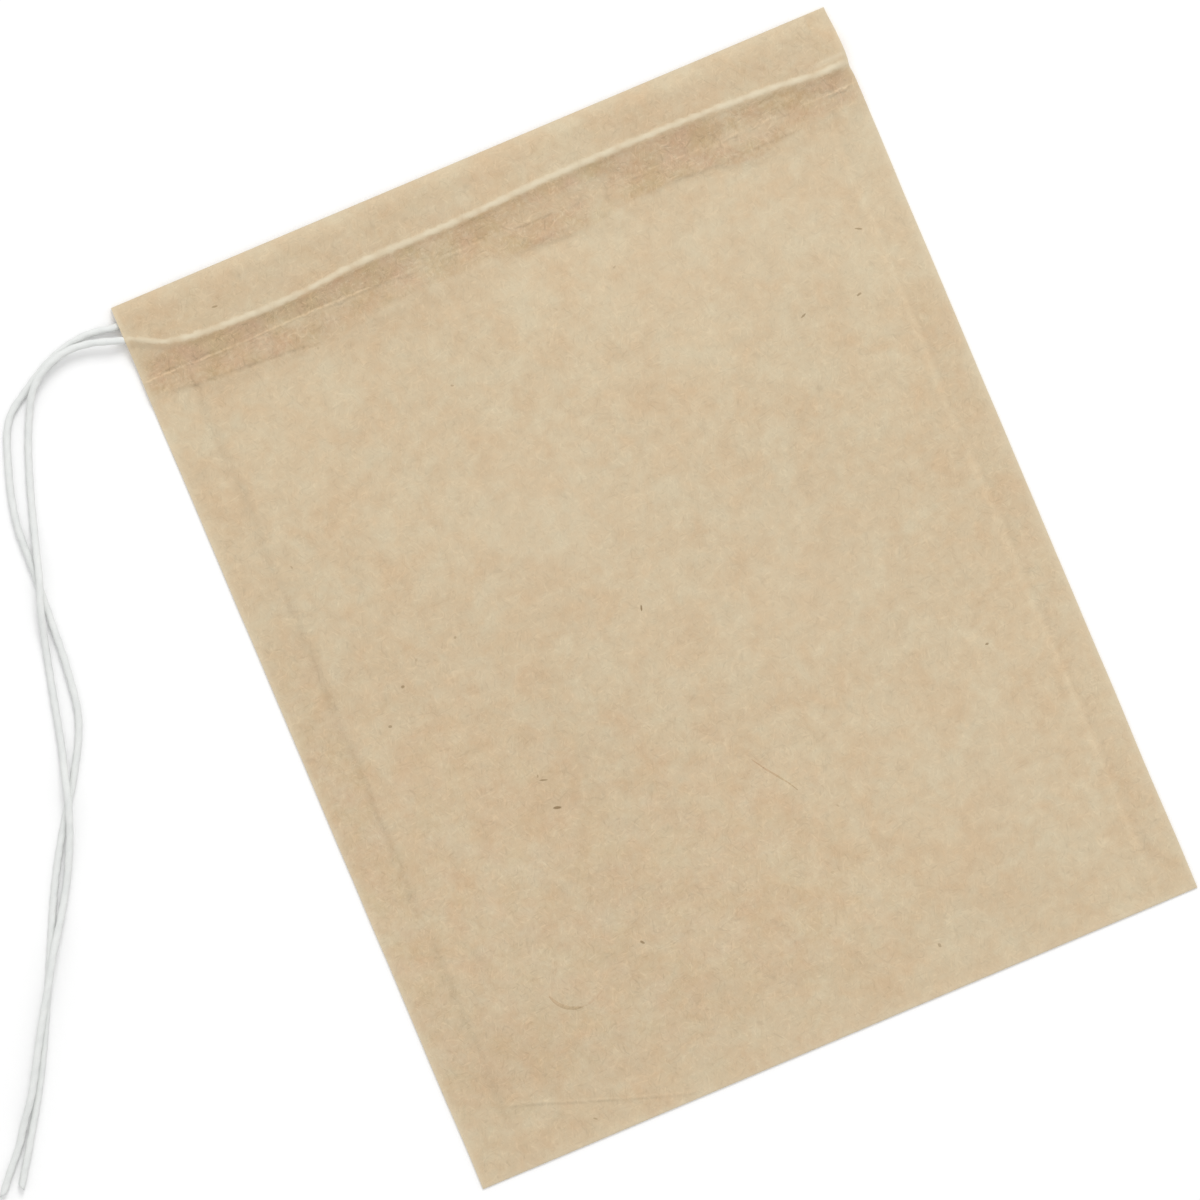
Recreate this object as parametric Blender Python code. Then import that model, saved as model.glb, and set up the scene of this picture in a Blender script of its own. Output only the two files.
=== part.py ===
"""An empty drawstring tea bag that lies flat: one folded sheet of filter paper and one cotton string.

The sheet is folded at the bottom, and folded inwards along both edges of the mouth. Each of those two
hems is sealed to its panel and leaves a channel for the string. The string enters the front hem at the
left, turns round inside the right-hand seam, comes back through the rear hem and ends in two tails.

X runs across the bag, Y up the bag to its mouth and Z up from the surface that it lies on. The origin
is under the middle of the bag. Sizes are in millimetres, and places in the hem and along the string are
given as a distance from the bag's left edge and a depth below its mouth.
"""

import math

import bmesh
import bpy
from mathutils import Vector

MM = 0.001

# The bag
BAG_WIDTH = 80.5
BAG_HEIGHT = 99.3
PAPER = 0.1
LEFT_SEAM = 5.4
RIGHT_SEAM = 4.1
POUCH_GAP = 0.3
POUCH_EASE = 11.0
EDGE_GAP = 0.06
SEAM_STEP = 0.4

# The hems along the mouth
FOLD = 0.3
LAYER_GAP = 0.02
MOUTH_GAP = 0.1
SEAL_MARGIN = 1.3
SEAL_WIDTH = 0.8
FLAP_FREE = 1.8
FLAP_EASE = 6.0

# The string and the channel that holds it
STRING_DIAMETER = 0.8
STRING_CLEARANCE = 0.2
PAPER_DRAPE = 2.2
REAR_DEPTH = 2.9
TURN_RADIUS = 1.65
SIDE_WALL = 0.15
FLOOR_CLEARANCE = 0.02

# How finely the mesh follows the forms
FOLD_PINCH = 0.5
PANEL_STEP = 14.0
POUCH_STEP = 6.5
SEAM_COLUMN = 1.2
CORD_STEP = 7.5
CORD_STRAY = 0.06
HEM_STEP = 9.0
TURN_STEPS = 6
SHARP_ANGLE = math.radians(40)

# Places where the string's line in the hems is set, close together next to the exit
EXIT_PLACES = [0.3, 1.3, 2.5, 3.8, 5.6, 8.5]
# The string's depth in the front hem, which wanders: distance from the left edge, depth
FRONT_RUN = [
    (0.0, 3.7),
    (3.8, 5.4),
    (8.5, 6.1),
    (17.9, 6.25),
    (26.4, 5.7),
    (36.0, 5.65),
    (47.5, 5.2),
    (57.5, 5.2),
    (66.1, 5.4),
    (72.0, 5.7),
]
# Its rise towards the mouth in the rear hem, next to the exit: distance from the left edge, rise
REAR_RISE = [(0.0, 0.9), (5.0, 0.25), (12.0, 0.0)]

# The loose tails: distance from the left edge, depth and lift off the surface.
# The front tail lies over the rear one where they cross.
FRONT_TAIL = [
    (-1.1, 3.3, 0.85),
    (-3.4, 2.6, 0.8),
    (-5.9, 2.4, 0.8),
    (-8.3, 3.0, 0.9),
    (-10.4, 4.4, 0.78),
    (-12.4, 7.5, 0.1),
    (-14.4, 12.3, 0.0),
    (-16.3, 18.1, 0.1),
    (-17.1, 20.9, 0.6),
    (-17.8, 23.3, 0.98),
    (-18.7, 25.6, 0.9),
    (-20.1, 30.4, 0.0),
    (-21.3, 35.3, 0.0),
    (-22.5, 40.2, 0.1),
    (-23.2, 42.7, 0.5),
    (-23.6, 44.2, 0.9),
    (-24.0, 45.7, 0.98),
    (-24.5, 47.1, 0.9),
    (-25.1, 48.6, 0.6),
    (-27.4, 53.1, 0.1),
    (-29.4, 56.3, 0.3),
    (-31.5, 59.4, 0.85),
    (-33.3, 62.3, 0.92),
    (-34.8, 64.6, 0.9),
    (-36.9, 68.0, 0.75),
    (-39.5, 72.3, 0.7),
    (-41.1, 74.3, 0.35),
    (-42.6, 76.4, 0.0),
    (-44.4, 78.4, 0.0),
    (-46.2, 80.5, 0.0),
]
REAR_TAIL = [
    (-0.5, 2.0, 0.25),
    (-3.0, 1.6, 0.0),
    (-5.6, 1.8, 0.0),
    (-8.3, 2.7, 0.0),
    (-11.2, 4.3, 0.0),
    (-14.2, 6.5, 0.0),
    (-16.1, 10.7, 0.0),
    (-17.7, 16.6, 0.0),
    (-18.0, 21.8, 0.0),
    (-18.3, 26.6, 0.0),
    (-18.8, 33.0, 0.0),
    (-19.7, 38.0, 0.0),
    (-22.3, 43.0, 0.0),
    (-25.9, 48.3, 0.0),
    (-28.5, 52.6, 0.0),
    (-31.9, 59.3, 0.0),
    (-34.6, 64.7, 0.0),
    (-37.6, 70.4, 0.0),
    (-41.6, 76.8, 0.0),
    (-44.1, 80.5, 0.0),
]

# Sizes that follow from those above
STRING_RADIUS = STRING_DIAMETER / 2
CHANNEL_HALF = STRING_RADIUS + STRING_CLEARANCE
FRONT_DEPTH = REAR_DEPTH + 2 * TURN_RADIUS
SEAL_DEPTH = FRONT_DEPTH + CHANNEL_HALF + SEAL_MARGIN
FLAP_DEPTH = SEAL_DEPTH + SEAL_WIDTH + FLAP_FREE
TURN_X = BAG_WIDTH - SIDE_WALL - CHANNEL_HALF - TURN_RADIUS
TURN_DEPTH = REAR_DEPTH + TURN_RADIUS
RIGHT_BORDER = BAG_WIDTH - RIGHT_SEAM

# The layers of a hem, counted up from the surface that the bag lies on
REAR_PANEL, REAR_CHANNEL, REAR_FLAP, MOUTH, FRONT_FLAP, FRONT_CHANNEL, FRONT_PANEL = range(7)
ALL_LAYERS = set(range(7))
PANELS = {REAR_PANEL, FRONT_PANEL}
SHEETS = {REAR_PANEL, REAR_FLAP, FRONT_FLAP, FRONT_PANEL}

# What is paper in each stretch of the pouch, from the mouth down
PAPER_LAYERS = {
    "fold": ALL_LAYERS - {MOUTH},
    "hem": SHEETS,
    "rear string": SHEETS,
    "between strings": SHEETS,
    "front string": SHEETS,
    "seal": ALL_LAYERS - {MOUTH},
    "panels": PANELS,
    "bottom fold": ALL_LAYERS,
}
# What is left open in the sealed sides: the string's own way out, and the pocket where it turns
SEAM_OPEN = {"rear string": {REAR_CHANNEL}, "front string": {FRONT_CHANNEL}}
POCKET_ROWS = {"rear string", "between strings", "front string"}


def ease(value):
    """A smooth step from 0 to 1."""
    value = min(max(value, 0.0), 1.0)
    return value * value * (3 - 2 * value)


def smooth_value(points, x):
    """The height at x of a smooth curve through points in order of x, level at both ends."""
    if x <= points[0][0]:
        return points[0][1]
    if x >= points[-1][0]:
        return points[-1][1]
    slopes = [0.0]
    for before, after in zip(points, points[2:]):
        slopes.append((after[1] - before[1]) / (after[0] - before[0]))
    slopes.append(0.0)
    index = max(i for i, point in enumerate(points) if point[0] <= x)
    (x0, y0), (x1, y1) = points[index], points[index + 1]
    width = x1 - x0
    t = (x - x0) / width
    rise = (2 * t**3 - 3 * t**2 + 1) * y0 + (3 * t**2 - 2 * t**3) * y1
    lean = (t**3 - 2 * t**2 + t) * slopes[index] + (t**3 - t**2) * slopes[index + 1]
    return rise + width * lean


def front_depth(x):
    """How deep the string lies in the front hem."""
    before_turn = [point for point in FRONT_RUN if point[0] < TURN_X - TURN_RADIUS]
    return smooth_value(before_turn + [(TURN_X, FRONT_DEPTH)], x)


def rear_depth(x):
    """How deep the string lies in the rear hem."""
    return REAR_DEPTH - smooth_value(REAR_RISE, x)


def drape(distance):
    """How much of the string's height the paper over it keeps, at a distance to its side."""
    return 0.5 + 0.5 * math.cos(math.pi * min(distance / PAPER_DRAPE, 1.0))


def channel_heights(x, depth):
    """How far the string opens the rear channel and the front one, whose floor is level."""
    height = 2 * CHANNEL_HALF
    if x > TURN_X:
        bend = height * drape(abs(math.hypot(x - TURN_X, depth - TURN_DEPTH) - TURN_RADIUS))
        share = min(max((FRONT_DEPTH - depth) / (2 * TURN_RADIUS), 0.0), 1.0)
        return bend * share, bend * (1 - share)
    run = front_depth(x)
    in_front_channel = depth > run - CHANNEL_HALF - LAYER_GAP
    rear_reach = max(depth, run) if in_front_channel else depth
    rear = height * drape(abs(rear_reach - rear_depth(x)))
    floor = height * drape(abs(run - rear_depth(x)))
    front = max(floor + height * drape(abs(depth - run)) - rear, 0.0)
    return rear, front


def from_pouch_side(x):
    """How far inside the pouch x is, from the nearer seam; it is negative in a seam."""
    return min(x - LEFT_SEAM, RIGHT_BORDER - x)


def hem_heights(x, depth):
    """The eight faces of the seven layers of the hems."""
    rear, front = channel_heights(x, depth)
    mouth = MOUTH_GAP if from_pouch_side(x) > 0 else LAYER_GAP
    heights = [0.0]
    for thickness in (PAPER, LAYER_GAP + rear, PAPER, mouth, PAPER, LAYER_GAP + front, PAPER):
        heights.append(heights[-1] + thickness)
    return heights


def pouch_opening(x, depth):
    """The air between the two panels below the hems."""
    side = from_pouch_side(x)
    if side < 0:
        return LAYER_GAP
    bottom = BAG_HEIGHT - depth
    pillow = ease(side / POUCH_EASE) * ease(bottom / POUCH_EASE)
    opening = EDGE_GAP + (POUCH_GAP - EDGE_GAP) * pillow
    flaps = 2 * PAPER + 2 * LAYER_GAP + MOUTH_GAP
    return opening + (flaps - opening) * (1 - ease((depth - FLAP_DEPTH) / FLAP_EASE))


def panel_heights(x, depth):
    """The same eight faces below the hems, where only air is left between the panels."""
    opening = pouch_opening(x, depth)
    inner = [PAPER + opening * step / 5 for step in range(6)]
    return [0.0] + inner + [PAPER * 2 + opening]


def pinch(heights, share):
    """Heights drawn towards their own middle, as a fold is rounded."""
    middle = (heights[0] + heights[-1]) / 2
    return [middle + (height - middle) * share for height in heights]


def layer_heights(x, depth):
    """The heights of the eight faces at one place of the bag."""
    if depth >= BAG_HEIGHT:
        return pinch(panel_heights(x, depth), FOLD_PINCH)
    if depth > FLAP_DEPTH:
        return panel_heights(x, depth)
    heights = hem_heights(x, depth)
    if depth <= 0:
        return pinch(heights[:4], FOLD_PINCH) + pinch(heights[4:], FOLD_PINCH)
    return heights


def spaced(start, end, step):
    """Places from start up to but not including end, about a step apart."""
    count = max(1, round((end - start) / step))
    return [start + (end - start) * i / count for i in range(count)]


def column_lines():
    """Lines across the bag: (distance from the left edge, what lies to the right of the line)."""
    pocket_start = TURN_X - CHANNEL_HALF
    pocket_end = TURN_X + TURN_RADIUS + CHANNEL_HALF
    right_step = RIGHT_BORDER + SEAM_STEP
    lines = [(x, "seam") for x in spaced(0.0, LEFT_SEAM - SEAM_STEP, SEAM_COLUMN)]
    lines.append((LEFT_SEAM - SEAM_STEP, "seam"))
    lines += [(x, "pouch") for x in spaced(LEFT_SEAM, RIGHT_BORDER, POUCH_STEP)]
    lines += [(RIGHT_BORDER, "seam"), (right_step, "seam"), (pocket_start, "pocket")]
    lines += [(x, "pocket") for x in spaced(TURN_X, pocket_end, TURN_RADIUS / 2)]
    return lines + [(pocket_end, "seam"), (BAG_WIDTH, "edge")]


def row_lines():
    """Lines down the bag: (a function that gives the depth at x, what lies below the line)."""

    def fixed(depth):
        return lambda x: depth

    def beside(run, offset):
        return lambda x: run(x) + offset

    lines = [
        (fixed(0.0), "fold"),
        (fixed(FOLD), "hem"),
        (beside(rear_depth, -2 * CHANNEL_HALF), "hem"),
        (beside(rear_depth, -CHANNEL_HALF), "rear string"),
        (rear_depth, "rear string"),
        (beside(rear_depth, CHANNEL_HALF), "between strings"),
        (lambda x: (rear_depth(x) + front_depth(x)) / 2, "between strings"),
        (beside(front_depth, -CHANNEL_HALF), "front string"),
        (front_depth, "front string"),
        (beside(front_depth, CHANNEL_HALF), "hem"),
        (beside(front_depth, CHANNEL_HALF + SEAL_MARGIN / 2), "hem"),
        (fixed(SEAL_DEPTH), "seal"),
        (fixed(SEAL_DEPTH + SEAL_WIDTH), "hem"),
        (fixed(FLAP_DEPTH), "panels"),
    ]
    bottom_ease = BAG_HEIGHT - POUCH_EASE
    for depth in spaced(FLAP_DEPTH + SEAM_STEP, bottom_ease, PANEL_STEP):
        lines.append((fixed(depth), "panels"))
    for depth in spaced(bottom_ease, BAG_HEIGHT - PAPER, POUCH_EASE / 2):
        lines.append((fixed(depth), "panels"))
    lines.append((fixed(BAG_HEIGHT - PAPER), "bottom fold"))
    return lines + [(fixed(BAG_HEIGHT), "edge")]


def paper_at(column, row, layer):
    """Whether one cell of the bag is paper."""
    if column == "pouch":
        return layer in PAPER_LAYERS[row]
    if column == "pocket" and row in POCKET_ROWS:
        return layer in PANELS
    if column == "pocket":
        return True
    return layer not in SEAM_OPEN.get(row, set())


def bag_place(x, depth, z):
    """A place in the bag as a point in metres."""
    return Vector((x - BAG_WIDTH / 2, BAG_HEIGHT / 2 - depth, z)) * MM


def new_material(name, colour, roughness):
    material = bpy.data.materials.new(name)
    material.use_nodes = True
    shader = material.node_tree.nodes["Principled BSDF"]
    shader.inputs["Base Color"].default_value = (*colour, 1.0)
    shader.inputs["Roughness"].default_value = roughness
    return material


def make_bag():
    """The sheet, made of cells of paper between lines across, lines down and the layers' faces."""
    columns, rows = column_lines(), row_lines()
    solid = {
        (i, j, k)
        for i, (_, column) in enumerate(columns[:-1])
        for j, (_, row) in enumerate(rows[:-1])
        for k in ALL_LAYERS
        if paper_at(column, row, k)
    }
    mesh = bmesh.new()
    corners = {}

    def corner(i, j, k):
        if (i, j, k) not in corners:
            x = columns[i][0]
            depth = rows[j][0](x)
            corners[i, j, k] = mesh.verts.new(bag_place(x, depth, layer_heights(x, depth)[k]))
        return corners[i, j, k]

    for cell in sorted(solid):
        for axis in range(3):
            for side in (0, 1):
                beyond = list(cell)
                beyond[axis] += 2 * side - 1
                if tuple(beyond) in solid:
                    continue
                loop = []
                for u, v in ((0, 0), (1, 0), (1, 1), (0, 1)):
                    at = list(cell)
                    at[axis] += side
                    at[(axis + 1) % 3] += u
                    at[(axis + 2) % 3] += v
                    loop.append(corner(*at))
                mesh.faces.new(loop)
    bmesh.ops.recalc_face_normals(mesh, faces=mesh.faces)
    data = bpy.data.meshes.new("filter_paper_bag")
    mesh.to_mesh(data)
    mesh.free()
    data.shade_smooth()
    data.set_sharp_from_angle(angle=SHARP_ANGLE)
    data.materials.append(new_material("unbleached_paper", (0.658, 0.527, 0.352), 0.85))
    bag = bpy.data.objects.new("filter_paper_bag", data)
    bpy.context.collection.objects.link(bag)


def hem_run(depth_at, floor, places):
    """Points of the string in a hem, resting in its channel."""
    points = []
    for x in places:
        depth = depth_at(x)
        z = hem_heights(x, depth)[floor] + CHANNEL_HALF
        points.append(bag_place(x, depth, z))
    return points


def turn_points():
    """The string's half circle inside the right-hand seam, from the front hem down to the rear one."""
    front_z = hem_heights(TURN_X, FRONT_DEPTH)[FRONT_CHANNEL] + CHANNEL_HALF
    rear_z = hem_heights(TURN_X, REAR_DEPTH)[REAR_CHANNEL] + CHANNEL_HALF
    points = []
    for step in range(TURN_STEPS + 1):
        share = step / TURN_STEPS
        angle = math.pi * share
        x = TURN_X + TURN_RADIUS * math.sin(angle)
        depth = TURN_DEPTH + TURN_RADIUS * math.cos(angle)
        points.append(bag_place(x, depth, front_z + (rear_z - front_z) * share))
    return points


def tail(places):
    return [bag_place(x, depth, STRING_RADIUS + lift) for x, depth, lift in places]


def string_route():
    """The whole string, from the end of the front tail to the end of the rear one."""
    lead = TURN_X - STRING_DIAMETER
    runs = EXIT_PLACES + spaced(EXIT_PLACES[-1], lead, HEM_STEP)[1:] + [lead]
    points = list(reversed(tail(FRONT_TAIL)))
    points += hem_run(front_depth, FRONT_CHANNEL, runs)
    points += turn_points()
    points += hem_run(rear_depth, REAR_CHANNEL, list(reversed(runs)))
    return points + tail(REAR_TAIL)


def smooth_line(points, steps=16):
    """A smooth curve through the points, as many short steps."""
    headings = []
    for i, point in enumerate(points):
        before = point - points[i - 1] if i else Vector()
        after = points[i + 1] - point if i + 1 < len(points) else Vector()
        headings.append((before.normalized() + after.normalized()).normalized())
    line = []
    for i in range(len(points) - 1):
        start, end = points[i], points[i + 1]
        reach = (end - start).length
        for step in range(steps):
            t = step / steps
            base = (2 * t**3 - 3 * t**2 + 1) * start + (3 * t**2 - 2 * t**3) * end
            lean = (t**3 - 2 * t**2 + t) * headings[i] + (t**3 - t**2) * headings[i + 1]
            line.append(base + reach * lean)
    return line + [points[-1]]


def strays(points, allowed):
    """Whether some point lies further than allowed from the straight line between the ends."""
    start, span = points[0], points[-1] - points[0]
    for point in points[1:-1]:
        along = (point - start).dot(span) / span.length_squared
        if (point - start - span * along).length > allowed:
            return True
    return False


def thinned(line, longest, allowed):
    """Points of a line, a step apart where it is straight and closer together where it bends."""
    kept, first = [line[0]], 0
    for i in range(1, len(line)):
        if (line[i] - kept[-1]).length > longest or strays(line[first : i + 1], allowed):
            first = i - 1
            kept.append(line[first])
    return kept + [line[-1]]


def make_string():
    """The string, as a round tube along its route."""
    lowest = (STRING_RADIUS + FLOOR_CLEARANCE) * MM
    line = thinned(smooth_line(string_route()), CORD_STEP * MM, CORD_STRAY * MM)
    data = bpy.data.curves.new("drawstring", "CURVE")
    data.dimensions = "3D"
    data.bevel_depth = STRING_RADIUS * MM
    data.bevel_resolution = 2
    data.use_fill_caps = True
    spline = data.splines.new("POLY")
    spline.points.add(len(line) - 1)
    for point, place in zip(spline.points, line):
        point.co = (place.x, place.y, max(place.z, lowest), 1.0)
    data.materials.append(new_material("cotton", (0.83, 0.845, 0.83), 0.9))
    string = bpy.data.objects.new("drawstring", data)
    bpy.context.collection.objects.link(string)


def main():
    for old in list(bpy.data.objects):
        bpy.data.objects.remove(old)
    make_bag()
    make_string()


main()
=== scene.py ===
"""The looks of an empty drawstring tea bag that lies flat, seen from straight above.

X runs across the bag, Y up the bag to its mouth and Z up from the floor. Sizes are in millimetres until
a mesh is made. A place in the bag is given as x, its distance from the left edge, and its depth below the
mouth.
"""

import math

import bpy
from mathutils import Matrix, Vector, noise


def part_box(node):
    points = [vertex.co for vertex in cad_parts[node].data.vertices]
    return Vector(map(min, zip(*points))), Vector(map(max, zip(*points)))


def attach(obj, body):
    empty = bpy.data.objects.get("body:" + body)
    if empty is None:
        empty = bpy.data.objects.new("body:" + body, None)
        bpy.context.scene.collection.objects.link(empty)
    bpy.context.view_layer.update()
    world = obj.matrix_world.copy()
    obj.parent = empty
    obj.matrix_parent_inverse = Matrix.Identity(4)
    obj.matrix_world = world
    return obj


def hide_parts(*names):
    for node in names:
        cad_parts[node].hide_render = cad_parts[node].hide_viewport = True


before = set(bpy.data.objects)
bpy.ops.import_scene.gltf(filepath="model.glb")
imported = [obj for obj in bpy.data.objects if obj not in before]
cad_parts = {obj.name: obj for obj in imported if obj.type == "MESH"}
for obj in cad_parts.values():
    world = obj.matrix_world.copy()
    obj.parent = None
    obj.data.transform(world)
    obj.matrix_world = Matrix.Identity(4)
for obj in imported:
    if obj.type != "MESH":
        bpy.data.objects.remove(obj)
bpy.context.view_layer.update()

MM = 0.001

# The bag: its outline is the frame's
LOW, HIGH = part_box("filter_paper_bag")
BAG_WIDTH = (HIGH.x - LOW.x) / MM
BAG_HEIGHT = (HIGH.y - LOW.y) / MM
PAPER = 0.1
LEFT_SEAM = 5.4
RIGHT_SEAM = 4.1
SEAM_STEP = 0.4
POUCH_GAP = 0.3
POUCH_EASE = 11.0
EDGE_GAP = 0.06
LEAST_GAP = 0.03
EDGE_FADE = 6.0
CORNER_CUT = (0.2, 3.0)

# The hems along the mouth
FOLD = 0.3
FOLD_SHARE = 0.35
LAYER_GAP = 0.02
MOUTH_GAP = 0.04
SEAL_MARGIN = 1.3
SEAL_WIDTH = 0.8
SEAL_LINE_BELOW = 0.42
SEAL_LINE_HALF = 0.14
SEAL_LINE_HEIGHT = 0.04
LINE_FADE = 0.8
FLAP_EASE = (0.6, 3.5)
FLAP_LIFT = 9.0
FLAP_MARGIN = 0.8
FLAP_HOLD = 1.4
MOST_STUCK = 1.4
WRINKLES_START = 1.2
WRINKLES_BELOW_FLAP = (0.6, 5.0)

# The string and the paper over it
STRING_DIAMETER = 0.8
STRING_SNUG = 0.04
CHANNEL_HALF = 0.6
PAPER_DRAPE = 2.1
DRAPE_BELOW = (1.2, 3.6)
STEEP_SHARE = 0.35
HEM_RISE = 2.6
CREST_STEP = 0.08
CREST_HALF = 0.34
END_SHARE = 0.45
END_HALF = 0.5
REAR_DEPTH = 2.9
TURN_RADIUS = 1.65
SIDE_WALL = 0.15
TURN_STEPS = 8
TWIST_LENGTH = 3.4
PLY_HEIGHT = 0.05
PLY_ROOM = 0.02
SWELLS = (0.05, 2.3)
GRAIN = (0.03, 1.3, 3.0)
CUT_RINGS = 6
CUT_SPREAD = 0.12
FLOOR_GAP = 0.02

# The view from above: its width, the place from the bag's middle that it centres on, its roll
VIEW_WIDTH = 124.64
VIEW_CENTRE = (-5.28, 1.98)
VIEW_ROLL = math.radians(-22.9)
CAMERA_HEIGHT = 700.0
SENSOR = 36.0

# Uneven forms, as height, length of the waves across and down the bag, seed
FLAP_EDGE_WAVES = (0.22, 1.9, 1.0, 8.4)
SEAL_LINE_WAVES = (0.12, 9.0, 1.0, 1.5)
LONG_WRINKLES = (0.05, 7.0, 0.55, 4.0)
SHORT_WRINKLES = (0.03, 3.0, 0.28, 6.0)
CREST_WRINKLES = (0.02, 2.2, 1.5, 9.0)
PANEL_WAVES = (0.14, 21.0, 26.0, 0.3)
PANEL_RIPPLES = (0.07, 8.0, 11.0, 0.8)
LEFT_EDGE_WAVES = (0.06, BAG_WIDTH, 9.0, 2.0)
RIGHT_EDGE_WAVES = (0.05, BAG_WIDTH / 5, 9.0, 7.0)
STUCK_SHADES = (0.5, 6.0, 1.6, 1.1)
STUCK_FLECKS = (0.3, 2.0, 0.6, 5.1)

# The sheet's cells across the bag, and how far finer rows go below the flap
SEAM_CELL = 0.55
POUCH_CELL = 0.78
POCKET_CELL = 0.35
FINE_ROWS = 3.0

# The string's points in a hem next to its exit, and steps further on, in a tail and in the hidden run
EXIT_PLACES = [0.3, 1.3, 2.5, 3.8, 5.6, 8.5]
HEM_STEP = 4.5
TAIL_STEP = 0.28
HIDDEN_STEP = 0.7

# The string's route in the front hem: x, depth
FRONT_RUN = [
    (0.0, 3.7), (3.8, 5.4), (8.5, 6.1), (17.9, 6.25), (26.4, 5.7), (36.0, 5.65), (47.5, 5.2),
    (57.5, 5.2), (66.1, 5.4), (72.0, 5.7),
]
# Its rise towards the mouth in the rear hem, next to the exit: x, rise
REAR_RISE = [(0.0, 0.9), (5.0, 0.25), (12.0, 0.0)]
# Where hem and panel are stuck and browner: x and depth of the middle, half length and height, strength
STUCK_PATCHES = [
    (6.0, 7.4, 5.8, 1.0, 1.3), (14.5, 7.5, 6.5, 0.9, 1.25), (30.0, 7.2, 12.0, 1.3, 0.9),
    (3.5, 9.2, 4.5, 0.8, 0.65), (12.0, 10.0, 8.0, 1.7, 0.55), (30.0, 9.7, 12.0, 1.1, 0.32),
    (46.5, 6.2, 7.5, 0.8, 0.8), (59.0, 8.2, 5.2, 2.8, 0.85), (45.0, 10.1, 4.8, 1.4, 0.8),
    (67.5, 10.6, 4.5, 1.4, 0.6), (73.0, 7.3, 9.5, 1.1, 0.65), (77.0, 9.3, 4.5, 0.8, 0.45),
    (79.0, 7.5, 2.2, 0.9, 0.7),
]
# Where the front is a little paler, in the same order
PALE_PATCHES = [
    (66.0, 19.0, 19.0, 9.0, 0.14), (56.0, 54.0, 9.0, 10.0, 0.13), (66.0, 80.0, 9.0, 12.0, 0.11),
    (33.0, 38.0, 8.0, 8.0, 0.14),
]
# Where the right edge juts out or steps in: depth, half the length, how far out
RIGHT_EDGE_DENTS = [(4.6, 1.2, 0.05), (6.7, 0.6, -0.12)]
# Paler parts, as how pale and how far in: the mouth, where the paleness is partly a painted highlight on
# the fold, the edges and the right side below the flap
MOUTH_PALE_AND_HIGHLIGHT = (0.28, 0.6)
REAR_MOUTH_PALE_AND_HIGHLIGHT = (0.5, 0.5)
EDGE_PALE = (0.5, 0.35)
RIGHT_PALE = (0.12, 1.5)
PALE_START = 2.0
# The pale end of the hem's ridge at the right, partly the string seen through the paper and partly a
# painted highlight
RIDGE_START = (75.5, 78.0)
RIDGE_DEPTH = 5.475
RIDGE_SLOPE = 0.05
RIDGE_HALF = 0.25
RIDGE_PALE_AND_HIGHLIGHT = 0.5
# Browner parts: the hem below the string where it is loose and how much more where it is stuck, the double
# paper above the string, and the rear hem; a start or an end is from where to where
HEM_BROWN = (0.25, 0.85)
STUCK_START = (0.25, 0.65)
STUCK_END = (0.4, -0.1)
DOUBLE_BROWN = 0.16
DOUBLE_START = (0.8, 2.0)
DOUBLE_END = (-0.2, -0.6)
REAR_BROWN = 0.8
REAR_START = (0.5, 1.5)
REAR_END = 0.6
MOST_BROWN = 1.8
# The browner seams: where the right one starts, the left one's middle and half its length
RIGHT_SEAM_BROWN = 0.13
RIGHT_SEAM_START = (18.0, 34.0)
LEFT_SEAM_BROWN = 0.14
LEFT_SEAM_MIDDLE = (60.0, 20.0)
SEAM_TONE_EASE = 0.3
# The painted shade over the front's lower left, which starts along a slant and ends near the bottom
LOWER_LEFT_SHADE = 0.28
LOWER_LEFT_ACROSS = (62.0, 42.0)
LOWER_LEFT_DOWN = (22.0, 62.0)
LOWER_LEFT_SLANT = 0.55
LOWER_LEFT_END = (89.0, 95.0)
# The front flap's uneven edge: x, depth
FLAP_EDGE = [
    (0.0, 10.1), (4.4, 10.2), (5.4, 10.7), (15.5, 11.3), (19.5, 11.9), (26.0, 10.9), (34.0, 10.6),
    (45.0, 11.2), (50.0, 11.3), (56.0, 10.5), (63.0, 10.7), (67.5, 11.7), (72.0, 10.8), (80.5, 10.2),
]

# The loose tails: x, depth, lift off the floor
FRONT_TAIL = [
    (-1.1, 3.3, 0.85), (-3.4, 2.6, 0.8), (-5.9, 2.4, 0.8), (-8.3, 3.0, 0.9), (-10.4, 4.4, 0.78),
    (-12.4, 7.5, 0.1), (-14.4, 12.3, 0.0), (-16.3, 18.1, 0.1), (-17.1, 20.9, 0.6), (-17.8, 23.3, 0.98),
    (-18.7, 25.6, 0.9), (-20.1, 30.4, 0.0), (-21.3, 35.3, 0.0), (-22.5, 40.2, 0.1), (-23.2, 42.7, 0.5),
    (-23.6, 44.2, 0.9), (-24.0, 45.7, 0.98), (-24.5, 47.1, 0.9), (-25.1, 48.6, 0.6), (-27.4, 53.1, 0.1),
    (-29.4, 56.3, 0.3), (-31.5, 59.4, 0.85), (-33.3, 62.3, 0.92), (-34.8, 64.6, 0.9),
    (-36.9, 68.0, 0.75), (-39.5, 72.3, 0.7), (-41.1, 74.3, 0.35), (-42.6, 76.4, 0.0), (-44.4, 78.4, 0.0),
    (-46.2, 80.5, 0.0),
]
REAR_TAIL = [
    (-0.5, 2.0, 0.25), (-3.0, 1.6, 0.0), (-5.6, 1.8, 0.0), (-8.3, 2.7, 0.0), (-11.2, 4.3, 0.0),
    (-14.2, 6.5, 0.0), (-16.1, 10.7, 0.0), (-17.7, 16.6, 0.0), (-18.0, 21.8, 0.0), (-18.3, 26.6, 0.0),
    (-18.8, 33.0, 0.0), (-19.7, 38.0, 0.0), (-22.3, 43.0, 0.0), (-25.9, 48.3, 0.0), (-28.5, 52.6, 0.0),
    (-31.9, 59.3, 0.0), (-34.6, 64.7, 0.0), (-37.6, 70.4, 0.0), (-41.6, 76.8, 0.0), (-44.1, 80.5, 0.0),
]

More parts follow.
